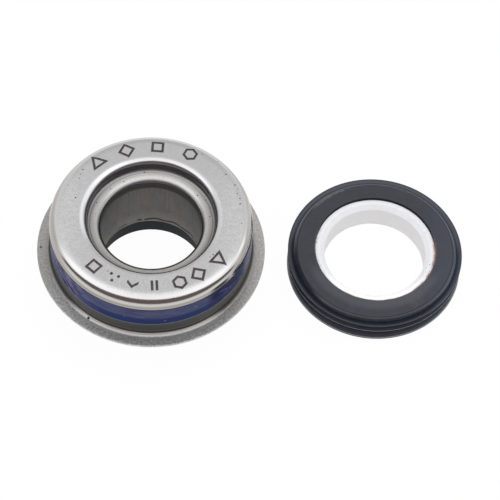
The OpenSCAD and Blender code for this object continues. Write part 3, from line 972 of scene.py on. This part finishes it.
def cupRubber():
    material, board = newMaterial("cupRubber")
    spot = board.shift(board.place(), seatX, seatY, seatBase)
    x, y, z = board.split(spot)
    r = x.calc("SQRT", x * x + y * y)
    grain = board.noise(spot, 5.0, 4.0, 0.7)
    dust = board.noise(spot, 0.8, 4.0, 0.65)
    rings = board.noise(board.join(x / r * 1.5, y / r * 1.5, r * 3.0), 1.0, 3.0, 0.6)
    colour = board.blend(dust.rise(0.35, 0.75), *cupParts["tones"])
    colour = board.blend(grain.rise(0.62, 0.76) * 0.3, colour, shade(78, 82, 88))
    # a light brown scuff lies along the rim at the back left
    angle = x.calc("ARCTAN2", y, x)
    scuff = r.within(14.0, 14.5, 0.25) * angle.within(math.radians(114), math.radians(142), 0.1) \
        * board.noise(spot, 1.5, 3.0, 0.6).rise(0.3, 0.65)
    colour = board.blend(scuff * 0.6, colour, shade(132, 128, 123))
    # and a patch of fine scratches at the front right
    patch = ((x - 7.1) * (x - 7.1) + (y + 9.7) * (y + 9.7)).rise(6.0, 0.5) \
        * board.noise(spot, 4.5, 2.0, 0.7).rise(0.45, 0.6)
    colour = board.blend(patch * 0.35, colour, shade(96, 92, 90))
    # painted light: the right side is lighter and bluer
    colour = board.blend(x.rise(7.0, 14.0) * 0.6, colour, shade(44, 51, 68))
    # the brown line of the ceramic has crept on to the lip
    seam = r.rise(11.3, 11.1) * y.rise(6.0, 0.0) * x.rise(-7.0, 1.0) \
        * board.noise(spot, 1.2, 2.0, 0.5).rise(0.36, 0.5)
    colour = board.blend(seam * 0.8, colour, shade(116, 66, 44))
    # the faces that get handled have a gloss, the grooves have none
    outer, _, high = extent("rubber_cup")
    high = high - seatBase
    crest = r.rise(outer - 0.14, outer - 0.03) * z.rise(0.55, 0.75)
    gloss = z.rise(high - 1.45, high - 1.05)
    gloss = gloss.most(crest * z.rise(3.6, 3.2))
    # painted shade of the small step where the rim begins
    stepAndLipShade = r.within(outer - 1.72, outer - 1.6, 0.05)
    # painted light: the step below the rim is lighter at the back, and at the front so is the face
    # beside the lip
    step = r.within(outer - 1.5, outer - 0.35, 0.12) * z.rise(high - 1.7, high - 1.3)
    colour = board.blend(step * y.rise(0.0, 4.0), colour, shade(62, 66, 76))
    colour = board.blend(r.rise(13.4, 12.0) * y.rise(-3.0, -7.0) * 0.6, colour, shade(66, 70, 78))
    # painted shade darkens the lip's bore at the back, and a thin line of painted shade marks the
    # small step where the rim begins
    lipBoreShade = r.rise(11.12, 10.98) * y.rise(0.0, 5.0)
    colour = board.blend(lipBoreShade * 0.8, colour, shade(9, 10, 12))
    stepAndLipShade = stepAndLipShade.most(lipBoreShade)
    colour = board.blend(stepAndLipShade * 0.6, colour, shade(10, 11, 13))
    # painted highlight along the crests of the lower ribs
    colour = board.blend(crest * z.rise(3.6, 3.2) * 0.8, colour, shade(150, 151, 158))
    # painted shade darkens the foot
    footShade = z.rise(0.65, 0.45)
    colour = board.blend(footShade, colour, shade(9, 10, 13))
    coat = (0.1 + gloss * 0.8) * (1 - footShade) * (1 - stepAndLipShade * 0.9)
    board.finish(colour=colour, rough=0.27 + grain * 0.12 + rings * 0.05 + stepAndLipShade * 0.3,
                 normal=board.bump(grain * 0.7 + rings * 0.6, 0.012), ior=1.28,
                 coat=coat, coatRough=0.22, coatIor=1.5)
    return material


def buildCup():
    p = cupParts
    outer, foot, top = extent("rubber_cup")
    ceramicTop = extent("ceramic_ring")[2]
    ribTop = ceramicTop - p["ribDrop"]

    def groove(upperEdge, width):
        radius = (p["ribDepth"] ** 2 + width ** 2 / 4) / (2 * p["ribDepth"])
        half = math.asin(width / 2 / radius)
        points = []
        for k in range(17):
            a = -half + 2 * half * k / 16
            points.append((outer - p["ribDepth"] + radius * (1 - math.cos(a)),
                           upperEdge - width / 2 + radius * math.sin(a),
                           p["soft"] if k in (0, 16) else 0.0))
        return points

    wide = p["ribPitch"] - p["crest"] + p["ribShift"]
    narrow = p["ribPitch"] - p["crest"] - p["ribShift"]
    section = [(p["innerR"], foot, 0.08), (outer - p["foot"], foot, 0.12),
               (outer, foot + p["foot"], 0.12)]
    section += groove(ribTop - 2 * p["crest"] - wide, narrow) + groove(ribTop - p["crest"], wide)
    section += [(outer, ribTop, 0.1)]
    # the slope from the trough bulges as it starts, then the rim rolls over to the top
    low = Vector((outer - p["troughIn"], ribTop - p["troughDepth"]))
    high = Vector((outer - p["rimIn"], ceramicTop))
    chord = high - low
    bulge = Vector((-chord.y, chord.x)).normalized() * (-p["roll"])
    for k in range(6):
        t = k / 12
        point = low + chord * t + bulge * (4 * t * (1 - t))
        section.append((point.x, point.y, 0.08 if k == 0 else 0.0))
    lipFoot = ceramicTop + p["lipSeat"]
    section += [(high.x, high.y, p["rimSoft"]), (p["lipR"] + p["lipLean"], top, 0.15),
                (p["lipR"], lipFoot, 0.04), (p["innerR"], lipFoot, 0.05)]
    piece = turned("rubberCup", rounded(section, 8), (seatX, seatY), steps=320, sharp=35)
    settle(piece, "rubber_cup", "seat", cupRubber())


buildCup()
print("cup done")


# table, light and camera
tableLook = {
    "size": 4.0,            # metres
    "gap": 0.02,            # the parts stand this far above it, so that no faces coincide
    "paper": (0.88, 0.88, 0.88, 1.0),
    "white": 0.97,          # how much of plain white the camera sees
    "mirrored": 0.35,       # and how much of it shiny parts mirror
}


def buildTable():
    half = tableLook["size"] / 2 * perMetre
    level = cadBox[0].z * perMetre - tableLook["gap"]
    verts = [(-half, -half, level), (half, -half, level),
             (half, half, level), (-half, half, level)]
    piece = makeObject("tableTop", verts, [(0, 1, 2, 3)])
    material, board = newMaterial("whiteTable")
    camera, glossy, through = board.add("ShaderNodeLightPath", out=("Is Camera Ray",
                                        "Is Glossy Ray", "Is Transmission Ray"))
    paper = board.add("ShaderNodeBsdfDiffuse", None, {"Color": tableLook["paper"]})
    glow = board.add("ShaderNodeEmission", None, {"Color": (1, 1, 1, 1), "Strength": 1.0})
    seen = (camera.most(through) * tableLook["white"]).most(glossy * tableLook["mirrored"])
    both = board.add("ShaderNodeMixShader", None, {0: seen, 1: paper, 2: glow})
    board.add("ShaderNodeOutputMaterial", None, {"Surface": both})
    piece.data.materials.append(material)


roomLook = {
    "back": 0.70,           # far wall and sides
    "front": 1.27,          # the bright wall and ceiling above the camera
    "low": 0.98,            # horizon below its unlit part
    "darkLower": (0.16, 0.145, 0.155, 1.0),
    "darkUpper": (0.205, 0.13, 0.145, 1.0),
}


def buildRoom():
    world = bpy.data.worlds.new("studio")
    scene.world = world
    world.use_nodes = True
    board = Board(world.node_tree)
    x, y, z = board.split(board.add("ShaderNodeTexCoord", out=0))
    p = roomLook
    # the unlit part is tallest straight ahead and thins out to both sides
    top = (0.14 - y * 0.8).least(0.73)
    foot = -0.03 - y * 0.22
    dark = z.rise(foot - 0.04, foot + 0.05) * z.rise(top + 0.04, top - 0.02) * y.rise(0.06, -0.12)
    lift = y.rise(0.28, -0.10) * z.rise(foot, foot + 0.1)
    lift = lift.most(x.rise(0.70, 0.85) * y.rise(0.48, 0.30) * z.within(0.2, 0.5, 0.08))
    level = p["back"] + z.rise(0.55, 0.84) * 0.16 + abs(x) * 0.2
    bright = p["front"] + abs(x) * 0.3
    level = level + lift * (bright - level)
    horizon = z.rise(foot + 0.05, foot - 0.05) * y.rise(0.2, -0.1)
    level = level + horizon * (p["low"] - level)
    shadow = board.blend(z.rise(0.3, 0.5), p["darkLower"], p["darkUpper"])
    light = board.blend(dark, board.join(level, level, level), shadow)
    camera = board.add("ShaderNodeLightPath", out=0)
    light = board.blend(camera, light, (1.0, 1.0, 1.0, 1.0))
    back = board.add("ShaderNodeBackground", None, {"Color": light, "Strength": 1.0})
    board.add("ShaderNodeOutputWorld", None, {"Surface": back})


# place in metres, size in metres, energy in watts
lampLook = [("overheadLamp", (0.10, 0.15, 0.75), 0.5, 0.9),
            ("frontLamp", (-0.15, -0.60, 0.45), 0.4, 0.9)]


def buildLamp(name, place, size, energy):
    data = bpy.data.lights.new(name, "AREA")
    data.shape = "DISK"
    data.size = size
    data.energy = energy
    lamp = bpy.data.objects.new(name, data)
    lamp.location = place
    lamp.rotation_euler = (-lamp.location).to_track_quat("-Z", "Y").to_euler()
    lamp.visible_glossy = False
    scene.collection.objects.link(lamp)


viewLook = {"lens": 180.0, "sensor": 36.0, "clip": (0.01, 20.0), "elevation": 57.40,
            "roll": 3.60, "place": (0.0178, -0.2421, 0.37984)}


def buildCamera():
    data = bpy.data.cameras.new("photoView")
    data.lens = viewLook["lens"]
    data.sensor_width = viewLook["sensor"]
    data.clip_start, data.clip_end = viewLook["clip"]
    tilt, roll = math.radians(viewLook["elevation"]), math.radians(viewLook["roll"])
    ahead = Vector((0.0, math.cos(tilt), -math.sin(tilt)))
    right, up = Vector((1.0, 0.0, 0.0)), Vector((0.0, math.sin(tilt), math.cos(tilt)))
    across = math.cos(roll) * right + math.sin(roll) * up
    upward = -math.sin(roll) * right + math.cos(roll) * up
    turn = Matrix((across, upward, -ahead)).transposed().to_4x4()
    camera = bpy.data.objects.new("photoView", data)
    camera.matrix_world = Matrix.Translation(viewLook["place"]) @ turn
    scene.collection.objects.link(camera)
    scene.camera = camera


buildTable()
buildRoom()
for name, place, size, energy in lampLook:
    buildLamp(name, place, size, energy)
buildCamera()
scene.view_settings.view_transform = "Standard"
print("table, light and camera done")
